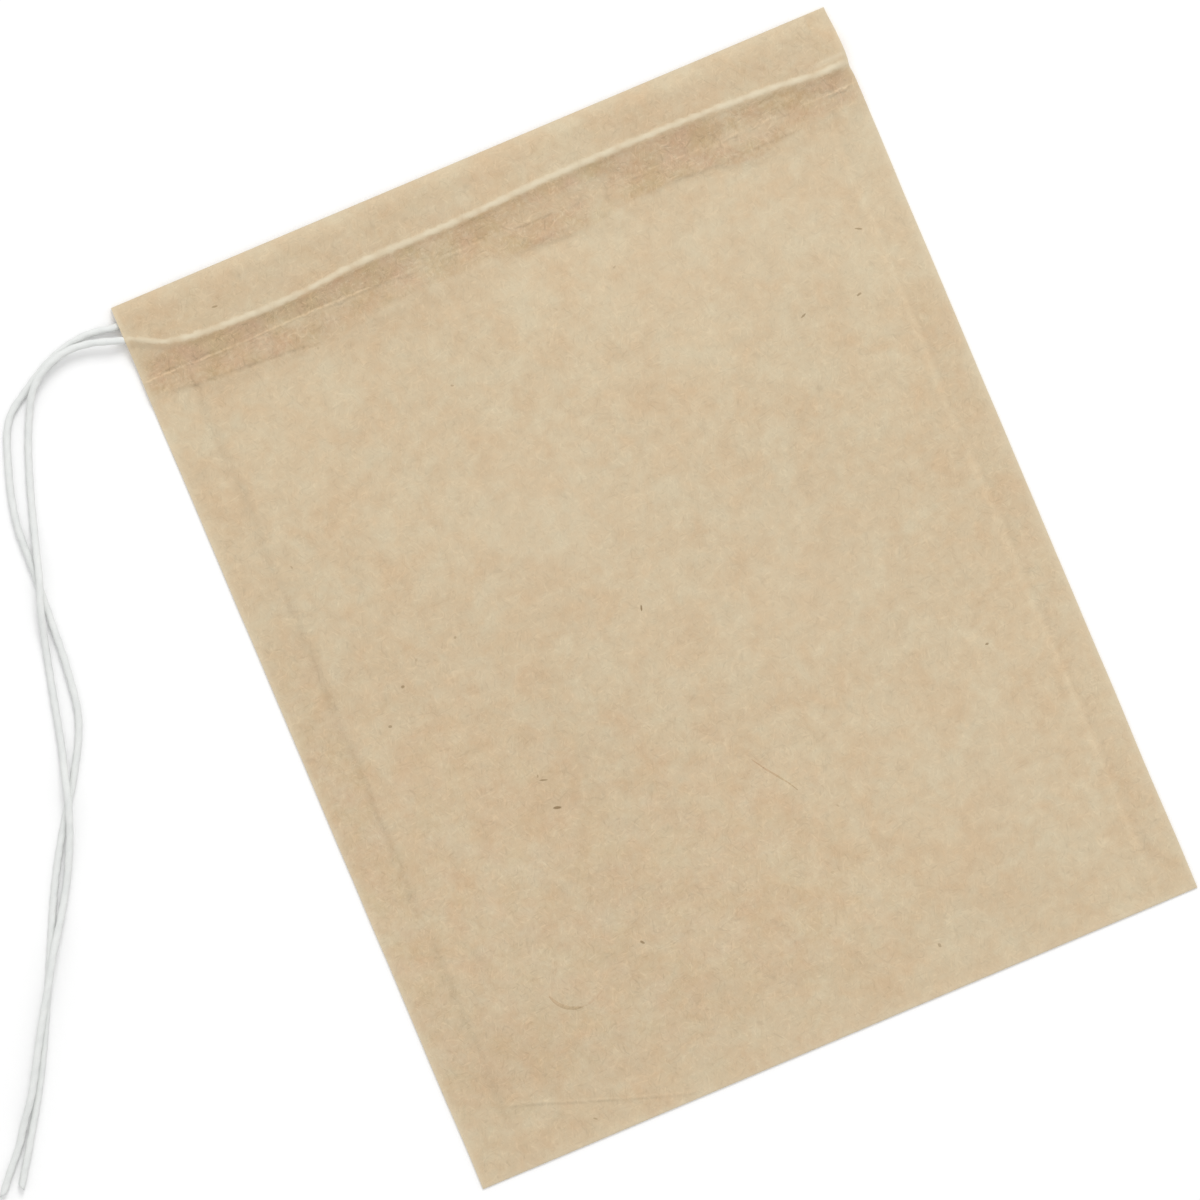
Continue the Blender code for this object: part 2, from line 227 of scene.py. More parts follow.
# Specks of bark in the paper: x, depth, length, width, angle in degrees, darkness
SPECKS = [
    (38.6, 50.1, 0.75, 0.22, 72, 0.75), (22.5, 65.8, 0.9, 0.34, -18, 0.75),
    (22.3, 62.6, 0.95, 0.2, -18, 0.55), (21.9, 62.0, 0.35, 0.22, 60, 0.4),
    (12.6, 48.0, 0.42, 0.32, 0, 0.55), (9.8, 51.3, 0.48, 0.34, -8, 0.5),
    (19.6, 45.4, 0.36, 0.3, 30, 0.35), (15.0, 46.0, 0.36, 0.28, 60, 0.25),
    (25.2, 82.1, 0.6, 0.26, -53, 0.65), (10.0, 4.1, 0.7, 0.22, -8, 0.5),
    (29.5, 21.2, 0.42, 0.22, -23, 0.35), (65.9, 28.7, 0.72, 0.22, 22, 0.55),
    (74.7, 22.6, 0.95, 0.22, -26, 0.5), (72.1, 28.9, 0.62, 0.26, 12, 0.5),
    (70.2, 67.5, 0.42, 0.28, 0, 0.6), (53.5, 94.4, 0.55, 0.32, -75, 0.4),
    (13.6, 97.1, 0.62, 0.22, -36, 0.35), (49.8, 16.4, 0.4, 0.22, 22, 0.25),
    (6.8, 32.1, 0.42, 0.22, -73, 0.3), (46.2, 83.1, 0.45, 0.35, 0, 0.15),
    (18.2, 12.2, 0.4, 0.25, 60, 0.2), (49.4, 76.9, 0.4, 0.22, -70, 0.18),
]
# Long fibres in the paper's surface: width, darkness, brownness, route as x and depth
LONG_FIBRES = [
    (0.24, 0.06, 1.2, [(43.0, 69.0), (43.9, 70.4), (45.0, 71.9), (45.7, 72.9), (46.2, 73.8)]),
    (0.5, 0.05, 1.6, [(14.1, 83.5), (14.5, 84.4), (15.1, 85.1), (15.9, 85.6), (16.9, 85.9)]),
    (0.26, 0.0, 0.4, [(16.5, 85.8), (17.6, 85.8), (18.8, 85.4), (19.8, 84.8)]),
]
# Specks and long fibres: sizes of their rings from rim to middle, how deep the rim lies, height, gain
SPECK_RINGS = (1.35, 1.0, 0.62, 0.25)
SPECK_SIDES = 12
SPECK_UNEVEN = 0.25
FIBRE_RINGS = (1.0, 0.75, 0.3)
FIBRE_STEP = 0.3
RIM_SUNK = 0.006
LENS_HEIGHT = 0.016
LENS_GAIN = 1.6
# Where the seal's raised line is seen, raised and with a painted highlight: x of its start and of its end,
# strength
SEAL_LINE = [
    (0.2, 4.6, 0.9), (5.7, 25.7, 0.8), (27.9, 31.1, 0.4), (34.6, 38.0, 0.6), (42.7, 44.3, 0.3),
    (56.9, 58.0, 0.7), (59.6, 62.5, 0.8), (66.1, 67.7, 0.4), (69.6, 70.9, 0.5), (74.5, 76.6, 0.4),
    (76.8, 80.4, 1.0),
]
# Where painted shade of a groove runs beside it, in the same order; the strength is below 0 above the line
SEAL_GROOVE_SHADE = [
    (2.5, 3.9, -0.9), (6.1, 8.3, -0.8), (20.9, 23.0, 0.5), (28.0, 30.4, 0.6), (34.1, 35.4, 0.7),
    (41.6, 46.4, 0.8), (47.1, 49.3, 0.5), (54.8, 55.9, 0.8), (65.2, 67.0, 0.8), (68.0, 73.0, 0.4),
    (77.3, 79.8, 0.8),
]
# The painted shade along the flap's edge: x, depth, strength
FLAP_EDGE_SHADE = [
    (4.6, 10.7, 0.0), (5.2, 10.7, 1.0), (17.0, 11.55, 0.9), (19.0, 11.9, 0.0), (25.5, 10.7, 0.0),
    (27.0, 10.7, 0.5), (30.5, 10.7, 0.0), (41.5, 11.3, 0.0), (44.0, 10.9, 0.7), (48.5, 10.8, 0.0),
    (58.5, 10.7, 0.0), (60.0, 10.7, 0.8), (64.0, 10.9, 0.2), (66.8, 10.8, 0.7), (72.5, 10.8, 0.7),
    (74.0, 10.8, 0.0),
]
# Painted shade and highlight along faint creases, folds and the seams' borders: x and depth of both ends,
# half the width, how much paler
CREASE_SHADING = [
    ((5.0, 11.4), (5.15, 95.0), 0.8, -0.095),
    ((76.0, 12.0), (76.35, 98.8), 0.55, 0.065),
    ((76.85, 12.0), (77.2, 98.8), 0.5, -0.04),
    ((5.2, 92.2), (24.5, 98.9), 0.22, -0.15),
    ((5.2, 91.9), (24.5, 98.6), 0.2, 0.07),
    ((51.8, 6.0), (54.6, 7.9), 0.35, -0.1),
    ((4.95, 9.2), (4.95, 11.2), 0.2, -0.13),
]
# Directions of the paper's fibres with a seed for each, and their width and length
FIBRE_LAYERS = [(-0.4, 0.0), (0.5, 11.0), (1.7, 23.0)]
FIBRE_SIZE = (0.2, 1.1)

# Colours
PALE_PAPER = (0.630, 0.528, 0.365, 1)
WARM_PAPER = (0.606, 0.457, 0.293, 1)
ROSY_STAIN = (0.9, 0.805, 0.785, 1)
OLIVE_STAIN = (0.85, 0.8, 0.71, 1)
# The pale of the white string through the paper, also the colour of painted highlights
STRING_SHOWING_AND_HIGHLIGHT = (0.73, 0.635, 0.465, 1)
BARK = (0.2, 0.125, 0.05, 1)
GREYER_COTTON = (0.73, 0.75, 0.735, 1)
WHITE_COTTON = (0.83, 0.84, 0.82, 1)
FLOOR_GREY = (0.75, 0.75, 0.75, 1)
WHITE = (1, 1, 1, 1)

# Sizes that follow from those above
STRING_RADIUS = STRING_DIAMETER / 2
CHANNEL_HEIGHT = STRING_DIAMETER + 2 * STRING_SNUG
FRONT_DEPTH = REAR_DEPTH + 2 * TURN_RADIUS
SEAL_DEPTH = FRONT_DEPTH + CHANNEL_HALF + SEAL_MARGIN
FLAP_DEPTH = sum(depth for _, depth in FLAP_EDGE) / len(FLAP_EDGE)
TURN_X = BAG_WIDTH - SIDE_WALL - CHANNEL_HALF - TURN_RADIUS
TURN_DEPTH = REAR_DEPTH + TURN_RADIUS
RIGHT_BORDER = BAG_WIDTH - RIGHT_SEAM
HEM_BASE = 4 * PAPER + 2 * LAYER_GAP + MOUTH_GAP

# The layers of a hem, counted up from the floor
REAR_PANEL, REAR_CHANNEL, REAR_FLAP, MOUTH, FRONT_FLAP, FRONT_CHANNEL, FRONT_PANEL = range(7)
ALL_LAYERS = set(range(7))
HEM_LAYERS = {REAR_PANEL, REAR_FLAP, FRONT_FLAP, FRONT_PANEL}
PAPER_LAYERS = {
    "fold": ALL_LAYERS - {MOUTH},
    "hem": HEM_LAYERS,
    "rear string": HEM_LAYERS,
    "between strings": HEM_LAYERS,
    "front string": HEM_LAYERS,
    "seal": ALL_LAYERS - {MOUTH},
    "panels": {REAR_PANEL, FRONT_PANEL},
    "bottom fold": ALL_LAYERS,
}
INSIDE = ALL_LAYERS - {REAR_PANEL, FRONT_PANEL}
# The layers without paper beside the pouch: in a seam, round the string's turn and in the wall beyond it
OPEN_LAYERS = {
    "seam": {"rear string": {REAR_CHANNEL}, "front string": {FRONT_CHANNEL}},
    "pocket": {"rear string": INSIDE, "between strings": INSIDE, "front string": INSIDE},
    "side wall": {},
}


def ease(value):
    """A smooth step from 0 to 1."""
    value = min(max(value, 0.0), 1.0)
    return value * value * (3 - 2 * value)


def smooth_step(value, start, end):
    """A smooth step from 0 at start to 1 at end."""
    return ease((value - start) / (end - start))


def fall(value):
    """A smooth fall from 1 at 0 to 0 at 1."""
    return 0.5 + 0.5 * math.cos(math.pi * min(max(value, 0.0), 1.0))


def bump(value):
    """A soft bump of height 1 at 0."""
    return math.exp(-value * value)


def fade(form, distance):
    """A strength that fades out with distance, from a pair of the strength and its reach."""
    strength, reach = form
    return strength * math.exp(-distance / reach)


def rough(x, y, seed):
    """Smooth noise between about -1 and 1."""
    return noise.noise(Vector((x, y, seed)))


def waves(form, x, depth):
    """How high an uneven form is at a place of the bag."""
    height, length, width, seed = form
    return height * rough(x / length, depth / width, seed)


def cubic(t, width, start, end, start_slope, end_slope):
    """A curve from start at 0 to end at 1, over a width and with slopes at its ends."""
    base = (2 * t**3 - 3 * t**2 + 1) * start + (3 * t**2 - 2 * t**3) * end
    lean = (t**3 - 2 * t**2 + t) * start_slope + (t**3 - t**2) * end_slope
    return base + width * lean


def smooth_value(points, x):
    """The height at x of a smooth curve through points in order of x, level at both ends."""
    if x <= points[0][0]:
        return points[0][1]
    if x >= points[-1][0]:
        return points[-1][1]
    slopes = [0.0]
    for before, after in zip(points, points[2:]):
        slopes.append((after[1] - before[1]) / (after[0] - before[0]))
    slopes.append(0.0)
    index = max(i for i, point in enumerate(points) if point[0] <= x)
    (x0, y0), (x1, y1) = points[index], points[index + 1]
    width = x1 - x0
    return cubic((x - x0) / width, width, y0, y1, slopes[index], slopes[index + 1])


def front_depth(x):
    """How deep the string lies in the front hem."""
    return smooth_value(FRONT_RUN + [(TURN_X, FRONT_DEPTH)], x)


def rear_depth(x):
    """How deep the string lies in the rear hem."""
    return REAR_DEPTH - smooth_value(REAR_RISE, x)


def flap_depth(x):
    """Where the front flap ends, a little unevenly."""
    return smooth_value(FLAP_EDGE, x) + waves(FLAP_EDGE_WAVES, x, 0.0)


def from_pouch_side(x):
    """How far inside the pouch x is, from the nearer seam; it is negative in a seam."""
    return min(x - LEFT_SEAM, RIGHT_BORDER - x)


def outside_turn(x, depth):
    """How far a place lies outside the string's half circle at the right."""
    return math.hypot(x - TURN_X, depth - TURN_DEPTH) - TURN_RADIUS


def rear_opening(x, depth):
    """How far the string lifts the rear flap."""
    height = CHANNEL_HEIGHT - CREST_STEP
    if x <= TURN_X:
        return height * fall(abs(depth - rear_depth(x)) / PAPER_DRAPE)
    share = min(max((FRONT_DEPTH - depth) / (2 * TURN_RADIUS), 0.0), 1.0)
    return height * share * fall(abs(outside_turn(x, depth)) / PAPER_DRAPE)


def hem_top(x, depth):
    """The outer face of the front hem: flat over the rear run, with the front run as a crest below."""
    below = depth - front_depth(x)
    if below < 0:
        flat = CHANNEL_HEIGHT - CREST_STEP
        rise = flat * (1 - (1 - min(depth / HEM_RISE, 1.0)) ** 3) + CREST_STEP * bump(below / CREST_HALF)
    else:
        steep, gentle = DRAPE_BELOW
        rise = STEEP_SHARE * fall(below / steep) + (1 - STEEP_SHARE) * fall(below / gentle)
        rise *= CHANNEL_HEIGHT
    if x > TURN_X:
        ridge = END_SHARE * CHANNEL_HEIGHT * bump(below / END_HALF)
        rise = max(rise * fall(max(outside_turn(x, depth), 0.0) / PAPER_DRAPE), ridge)
    return HEM_BASE + rise + hem_wrinkles(x, depth)


def along(stretches, x):
    """The strength at x of a line that is seen in some stretches only."""
    whole = 0.0
    for start, end, strength in stretches:
        whole += strength * ease((x - start) / LINE_FADE + 0.5) * ease((end - x) / LINE_FADE + 0.5)
    return whole


def seal_line(x):
    """The depth of the seal's raised line, which runs almost straight."""
    return SEAL_DEPTH + SEAL_LINE_BELOW + waves(SEAL_LINE_WAVES, x, 0.0)


def patches_at(patches, x, depth, power):
    """The strength at a place of patches, which end more sharply with a higher power."""
    whole = 0.0
    for middle, middle_depth, half_length, half_height, strength in patches:
        across = (x - middle) / half_length
        down = (depth - middle_depth) / half_height
        whole += strength * math.exp(-(across**power) - down**power)
    return whole


def stuck_paper(x, depth):
    """How firmly the front hem's flap and panel are stuck together."""
    return min(patches_at(STUCK_PATCHES, x, depth, 4), MOST_STUCK)


def flap_wrinkles(x, depth):
    """Small folds that run along the sealed part of the hem."""
    return waves(LONG_WRINKLES, x, depth) + waves(SHORT_WRINKLES, x, depth)


def hem_wrinkles(x, depth):
    """Small folds below the string, and the pressed line of the seal."""
    below = ease((depth - front_depth(x)) / WRINKLES_START)
    pressed = SEAL_LINE_HEIGHT * bump((depth - seal_line(x)) / SEAL_LINE_HALF)
    folds = flap_wrinkles(x, depth) + pressed * along(SEAL_LINE, x)
    return below * folds + waves(CREST_WRINKLES, x, depth) * (1 - below)


def hem_heights(x, depth):
    """The eight faces of the seven layers of the hems."""
    rear = rear_opening(x, depth)
    mouth = MOUTH_GAP if from_pouch_side(x) > 0 else LAYER_GAP
    heights = [0.0]
    for thickness in (PAPER, LAYER_GAP + rear, PAPER, mouth, PAPER):
        heights.append(heights[-1] + thickness)
    top = max(hem_top(x, depth), heights[-1] + LAYER_GAP + PAPER)
    return heights + [top - PAPER, top]


def pouch_opening(x, depth):
    """The air between the two panels below the hems."""
    side = from_pouch_side(x)
    past_flap = depth - flap_depth(x)
    sharp, soft = FLAP_EASE
    firm = min(stuck_paper(x, flap_depth(x) - FLAP_MARGIN) * FLAP_HOLD, 1.0)
    stay = 1 - ease(past_flap / (soft + (sharp - soft) * firm))
    if side < 0:
        return LAYER_GAP + (HEM_BASE - 2 * PAPER - LAYER_GAP) * stay
    bottom = BAG_HEIGHT - depth
    pillow = ease(side / POUCH_EASE) * ease(bottom / POUCH_EASE) * ease(past_flap / FLAP_LIFT)
    wave = waves(PANEL_WAVES, x, depth) + waves(PANEL_RIPPLES, x, depth)
    opening = EDGE_GAP + (POUCH_GAP - EDGE_GAP + wave) * pillow
    flaps = 2 * PAPER + 2 * LAYER_GAP + MOUTH_GAP
    opening += (flaps - opening) * stay
    share, reach = WRINKLES_BELOW_FLAP
    return max(opening + share * fall(past_flap / reach) * flap_wrinkles(x, depth), LEAST_GAP)


def panel_heights(x, depth):
    """The same eight faces below the hems, where only air is left between the panels."""
    opening = pouch_opening(x, depth)
    inner = [PAPER + opening * step / 5 for step in range(6)]
    return [0.0] + inner + [PAPER * 2 + opening]


def pinch(heights, distance):
    """Heights drawn towards their own middle at a distance from a folded edge, which rounds it."""
    share = FOLD_SHARE + (1 - FOLD_SHARE) * math.sqrt(1 - (1 - distance / FOLD) ** 2)
    middle = (heights[0] + heights[-1]) / 2
    return [middle + (height - middle) * share for height in heights]


def layer_heights(x, depth):
    """The heights of the eight faces at one place of the bag."""
    if depth > flap_depth(x):
        heights = panel_heights(x, depth)
        from_bottom = BAG_HEIGHT - depth
        return pinch(heights, from_bottom) if from_bottom < FOLD else heights
    heights = hem_heights(x, depth)
    return pinch(heights[:4], depth) + pinch(heights[4:], depth) if depth < FOLD else heights


def edge_shift(x, depth):
    """How far the cut sides stray from straight lines, fading out towards the middle."""
    left = waves(LEFT_EDGE_WAVES, 0.0, depth)
    right = waves(RIGHT_EDGE_WAVES, BAG_WIDTH, depth)
    for middle, half, reach in RIGHT_EDGE_DENTS:
        right += reach * bump((depth - middle) / half)
    cut, cut_length = CORNER_CUT
    right -= cut * fall(depth / cut_length)
    return right * ease((x - BAG_WIDTH + EDGE_FADE) / EDGE_FADE) - left * ease((EDGE_FADE - x) / EDGE_FADE)


def bag_place(x, depth, z):
    """A place in the bag as a point in metres."""
    return Vector((x - BAG_WIDTH / 2, BAG_HEIGHT / 2 - depth, z)) * MM


def spaced(start, end, step):
    """Places from start up to but not including end, about a step apart."""
    count = max(1, round((end - start) / step))
    return [start + (end - start) * i / count for i in range(count)]


def column_lines():
    """Lines across the bag: (x, what lies to the right of the line)."""
    pocket_start = TURN_X - CHANNEL_HALF
    pocket_end = TURN_X + TURN_RADIUS + CHANNEL_HALF
    right_step = RIGHT_BORDER + SEAM_STEP
    lines = [(x, "seam") for x in spaced(0.0, LEFT_SEAM - SEAM_STEP, SEAM_CELL)]
    lines += [(x, "seam") for x in spaced(LEFT_SEAM - SEAM_STEP, LEFT_SEAM, SEAM_STEP / 2)]
    lines += [(x, "pouch") for x in spaced(LEFT_SEAM, RIGHT_BORDER, POUCH_CELL)]
    lines += [(x, "seam") for x in spaced(RIGHT_BORDER, right_step, SEAM_STEP / 2)]
    lines += [(x, "seam") for x in spaced(right_step, pocket_start, SEAM_CELL)]
    lines += [(x, "pocket") for x in spaced(pocket_start, pocket_end, POCKET_CELL)]
    return lines + [(pocket_end, "side wall"), (BAG_WIDTH, "edge")]


def row_lines():
    """Lines down the bag: (a function that gives the depth at x, what lies below the line)."""

    def fixed(depth):
        return lambda x: depth

    def beside(run, offset):
        return lambda x: run(x) + offset

    half = CHANNEL_HALF
    # For each strip: the line above it, what it is, and how many rows of cells it is cut into
    keys = [
        (fixed(0.0), "fold", 4),
        (fixed(FOLD), "hem", 3),
        (beside(rear_depth, -2 * half), "hem", 2),
        (beside(rear_depth, -half), "rear string", 2),
        (rear_depth, "rear string", 2),
        (beside(rear_depth, half), "between strings", 2),
        (lambda x: (rear_depth(x) + front_depth(x)) / 2, "between strings", 3),
        (beside(front_depth, -half), "front string", 4),
        (front_depth, "front string", 4),
        (beside(front_depth, half), "hem", 4),
        (beside(front_depth, half + SEAL_MARGIN / 2), "hem", 4),
        (fixed(SEAL_DEPTH), "seal", 8),
        (fixed(SEAL_DEPTH + SEAL_WIDTH), "hem", 7),
        (flap_depth, "panels", 3),
        (beside(flap_depth, SEAM_STEP), "panels", 8),
        (fixed(FLAP_DEPTH + FINE_ROWS), "panels", 84),
        (fixed(BAG_HEIGHT - 2 * FOLD), "panels", 2),
        (fixed(BAG_HEIGHT - FOLD), "panels", 2),
        (fixed(BAG_HEIGHT - PAPER), "bottom fold", 1),
        (fixed(BAG_HEIGHT), "edge", 0),
    ]
    lines = []
    for (upper, zone, count), (lower, _, _) in zip(keys, keys[1:]):
        for i in range(count):
            share = i / count
            lines.append((lambda x, a=upper, b=lower, s=share: a(x) * (1 - s) + b(x) * s, zone))
    return lines + [(keys[-1][0], "edge")]


def paper_at(column, row, layer):
    """Whether one cell of the bag is paper."""
    if column == "pouch":
        return layer in PAPER_LAYERS[row]
    return layer not in OPEN_LAYERS[column].get(row, ())


def lower_left_shade(x, depth):
    """How near a place is to the front's lower left, where painted shade darkens the paper a little."""
    across = smooth_step(x, *LOWER_LEFT_ACROSS)
    down = smooth_step(depth - LOWER_LEFT_SLANT * x, *LOWER_LEFT_DOWN)
    return across * down * (1 - smooth_step(depth, *LOWER_LEFT_END) / 2)


def seam_brownness(x, depth):
    """The sealed sides look a little browner, the left one mostly in its lower half."""
    inside = ease(-from_pouch_side(x) / SEAM_TONE_EASE)
    if x > BAG_WIDTH / 2:
        return RIGHT_SEAM_BROWN * inside * smooth_step(depth, *RIGHT_SEAM_START)
    middle, half = LEFT_SEAM_MIDDLE
    return LEFT_SEAM_BROWN * inside * bump((depth - middle) / half)


def front_paleness(x, depth):
    """Where the front looks paler: at its edges, where the mouth's fold gets a painted highlight, on the
    end of the hem's ridge, partly a painted highlight too, and in broad patches.
    """
    from_edge = min(x, BAG_WIDTH - x, BAG_HEIGHT - depth)
    # The mouth's paleness is partly a painted highlight on its fold
    edge = max(fade(MOUTH_PALE_AND_HIGHLIGHT, depth), fade(EDGE_PALE, from_edge))
    from_ridge = depth - RIDGE_DEPTH + RIDGE_SLOPE * (x - RIDGE_START[0])
    # The ridge's pale end is partly a painted highlight
    ridge = RIDGE_PALE_AND_HIGHLIGHT * bump(from_ridge / RIDGE_HALF) * smooth_step(x, *RIDGE_START)
    patches = fade(RIGHT_PALE, BAG_WIDTH - x) + patches_at(PALE_PATCHES, x, depth, 2)
    patches *= ease((depth - flap_depth(x)) / PALE_START)
    return min(max(edge, ridge) + patches, 1.0)


def front_brownness_and_shade(x, depth):
    """Where the front looks darker: where hem and panel are stuck together, in the seams, and over the
    lower left, where the darkening is painted shade.
    """
    below_string = depth - front_depth(x)
    within = smooth_step(below_string, *STUCK_START) * smooth_step(depth - flap_depth(x), *STUCK_END)
    shade = 1 + waves(STUCK_SHADES, x, depth) + waves(STUCK_FLECKS, x, depth)
    loose, firm = HEM_BROWN
    stuck = within * shade * (loose + firm * stuck_paper(x, depth))
    double = DOUBLE_BROWN * smooth_step(depth, *DOUBLE_START) * smooth_step(below_string, *DOUBLE_END)
    # The seams' browning, and painted shade over the lower left
    broad = seam_brownness(x, depth) + LOWER_LEFT_SHADE * lower_left_shade(x, depth)
    return min(max(stuck + double + (1 - min(stuck, 1.0)) * broad, 0.0), MOST_BROWN)


def tint(x, depth, layer):
    """How much paler and how much browner than plain paper a place on a layer's face is, with painted
    highlight and shade among them.
    """
    if layer > MOUTH:
        return front_paleness(x, depth), front_brownness_and_shade(x, depth)
    start = smooth_step(depth - rear_depth(x), *REAR_START)
    stuck = start * smooth_step(depth, FLAP_DEPTH + REAR_END, FLAP_DEPTH)
    # The rear's paleness at the mouth is partly a painted highlight on the fold
    return fade(REAR_MOUTH_PALE_AND_HIGHLIGHT, depth), REAR_BROWN * stuck + seam_brownness(x, depth) * (1 - stuck)


def below_lines(x, depth, layer):
    """How far a place on a layer's face lies below the string, the seal's line and the flap's edge."""
    run = front_depth(x) if layer > MOUTH else rear_depth(x)
    flap = smooth_value([(at, deep) for at, deep, _ in FLAP_EDGE_SHADE], x)
    return depth - run, depth - seal_line(x), depth - flap


def line_strengths(x):
    """How strongly the painted highlight on the seal's line, the painted shade of the groove beside it and
    the painted shade at the flap's edge are shown at x.
    """
    # How strong the painted shade at the flap's edge is
    flap = smooth_value([(at, strength) for at, _, strength in FLAP_EDGE_SHADE], x)
    return along(SEAL_LINE, x), along(SEAL_GROOVE_SHADE, x), flap


def new_object(name, data):
    """An object of the scene."""
    made = bpy.data.objects.new(name, data)
    bpy.context.scene.collection.objects.link(made)
    return made


def new_mesh(name, vertices, faces, material):
    """A mesh object of one material."""
    data = bpy.data.meshes.new(name)
    data.from_pydata(vertices, [], faces)
    data.update()
    data.materials.append(material)
    return new_object(name, data)


def set_attributes(piece, numbers, vectors):
    """Values at a mesh's points, for its material to read."""
    for name, values in numbers.items():
        piece.data.attributes.new(name, "FLOAT", "POINT").data.foreach_set("value", values)
    for name, values in vectors.items():
        piece.data.attributes.new(name, "FLOAT_VECTOR", "POINT").data.foreach_set("vector", values)


def make_bag(material, specks):
    """The sheet, made of cells of paper between lines across, lines down and the layers' faces."""
    columns, rows = column_lines(), row_lines()
    solid = [
        [[paper_at(column, row, k) for k in range(7)] for _, row in rows[:-1]]
        for _, column in columns[:-1]
    ]
    vertices, tints, reaches, strengths, index, heights = [], [], [], [], {}, {}
    line_strength = [line_strengths(x) for x, _ in columns]

    def is_paper(i, j, k):
        inside = 0 <= i < len(columns) - 1 and 0 <= j < len(rows) - 1 and 0 <= k < 7
        return inside and solid[i][j][k]

    def corner(i, j, k):
        if (i, j, k) not in index:
            x = columns[i][0]
            depth = rows[j][0](x)
            if (i, j) not in heights:
                heights[i, j] = layer_heights(x, depth)
            index[i, j, k] = len(vertices)
            vertices.append(bag_place(x + edge_shift(x, depth), depth, heights[i, j][k]))
            tints.append(tint(x, depth, k))
            reaches.extend(below_lines(x, depth, k))
            strengths.extend(line_strength[i])
        return index[i, j, k]

    # For each side of a cell: the neighbour beyond it, and its corners in the order that faces outwards
    sides = [
        ((-1, 0, 0), ((0, 1, 0), (0, 1, 1), (0, 0, 1), (0, 0, 0))),
        ((1, 0, 0), ((1, 0, 1), (1, 1, 1), (1, 1, 0), (1, 0, 0))),
        ((0, -1, 0), ((0, 0, 1), (1, 0, 1), (1, 0, 0), (0, 0, 0))),
        ((0, 1, 0), ((1, 1, 0), (1, 1, 1), (0, 1, 1), (0, 1, 0))),
        ((0, 0, -1), ((1, 0, 0), (1, 1, 0), (0, 1, 0), (0, 0, 0))),
        ((0, 0, 1), ((0, 1, 1), (1, 1, 1), (1, 0, 1), (0, 0, 1))),
    ]
    faces = []
    for i in range(len(columns) - 1):
        for j in range(len(rows) - 1):
            for k in range(7):
                if not solid[i][j][k]:
                    continue
                for (di, dj, dk), loop in sides:
                    if not is_paper(i + di, j + dj, k + dk):
                        faces.append([corner(i + a, j + b, k + c) for a, b, c in loop])
    bag = new_mesh("paper_bag", vertices, faces, material)
    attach(bag, "root")
    # The browns hold painted shade over the front's lower left as well as the paper's browning
    pales, browns = zip(*tints)
    vectors = {"below_lines": reaches, "line_strengths": strengths}
    # The pales hold painted highlights at the mouth's fold and on the ridge as well as paler tone
    set_attributes(bag, {"pale": pales, "brown": browns}, vectors)
    bag.data.shade_smooth()
    bag.data.set_sharp_from_angle(angle=math.radians(50))
    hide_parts("filter_paper_bag")


def ring_faces(first, rings, count):
    """Faces that join rings of count points, numbered from first, and close both ends."""
    faces = []
    for a in range(first, first + (rings - 1) * count, count):
        for s in range(count):
            after = (s + 1) % count
            faces.append([a + s, a + after, a + count + after, a + count + s])
    last = first + (rings - 1) * count
    return faces + [list(reversed(range(first, first + count))), list(range(last, last + count))]


def heading_at(line, n):
    """The direction of a line of points at one of them."""
    return (line[min(n + 1, len(line) - 1)] - line[max(n - 1, 0)]).normalized()


def speck_rings(number, x, depth, length, width, angle):
    """The rings of a speck from its rim to its middle, each a list of (x, depth)."""
    turn = math.radians(angle)
    rings = []
    for size in SPECK_RINGS:
        ring = []
        for s in range(SPECK_SIDES):
            around = -2 * math.pi * s / SPECK_SIDES
            uneven = 1 + SPECK_UNEVEN * rough(number * 3.7, 2 * math.cos(around), 2 * math.sin(around))
            ahead = size * uneven * length / 2 * math.cos(around)
            aside = size * uneven * width / 2 * math.sin(around)
            right = ahead * math.cos(turn) - aside * math.sin(turn)
            down = -ahead * math.sin(turn) - aside * math.cos(turn)
            ring.append((x + right, depth + down))
        rings.append(ring)
    return rings


def fibre_rings(width, route):
    """The same rings of a long fibre, which thins out at both ends."""
    line = smooth_line([Vector((x, depth, 0)) for x, depth in route], FIBRE_STEP)
    rings = []
    for size in FIBRE_RINGS:
        left, right = [], []
        for n, point in enumerate(line):
            heading = heading_at(line, n)
            taper = math.sin(math.pi * (n + 0.5) / len(line)) ** 0.5
            aside = Vector((-heading.y, heading.x, 0)) * size * taper * width / 2
            left.append((point + aside).xy[:])
            right.append((point - aside).xy[:])
        rings.append(left + right[::-1])
    return rings


def make_specks(material):
    """Specks and long fibres in the paper, as thin lenses and ribbons whose rims lie in its surface."""
    vertices, places, faces, darkness, brownness = [], [], [], [], []

    def lens(rings, dark, brown=0.0):
        """A closed form from rings of places."""
        first = len(vertices)
        for n, ring in enumerate(rings):
            share = n / (len(rings) - 1)
            shown = min(share * LENS_GAIN, 1.0)
            for x, depth in ring:
                surface = layer_heights(x, depth)[-1]
                vertices.append(bag_place(x, depth, surface - RIM_SUNK + LENS_HEIGHT * share))
                places.append((x, depth))
                darkness.append(dark * shown)
                brownness.append(brown * shown + front_brownness_and_shade(x, depth))
        faces.extend(face[::-1] for face in ring_faces(first, len(rings), len(rings[0])))

    for number, (*form, dark) in enumerate(SPECKS):
        lens(speck_rings(number, *form), dark)
    for width, dark, brown, route in LONG_FIBRES:
        lens(fibre_rings(width, route), dark, brown)
    specks = new_mesh("paper_specks", vertices, faces, material)
    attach(specks, "root")
    reaches = [reach for x, depth in places for reach in below_lines(x, depth, FRONT_PANEL)]
    set_attributes(specks, {"dark": darkness, "brown": brownness}, {"below_lines": reaches})
    specks.data.shade_smooth()
    return specks


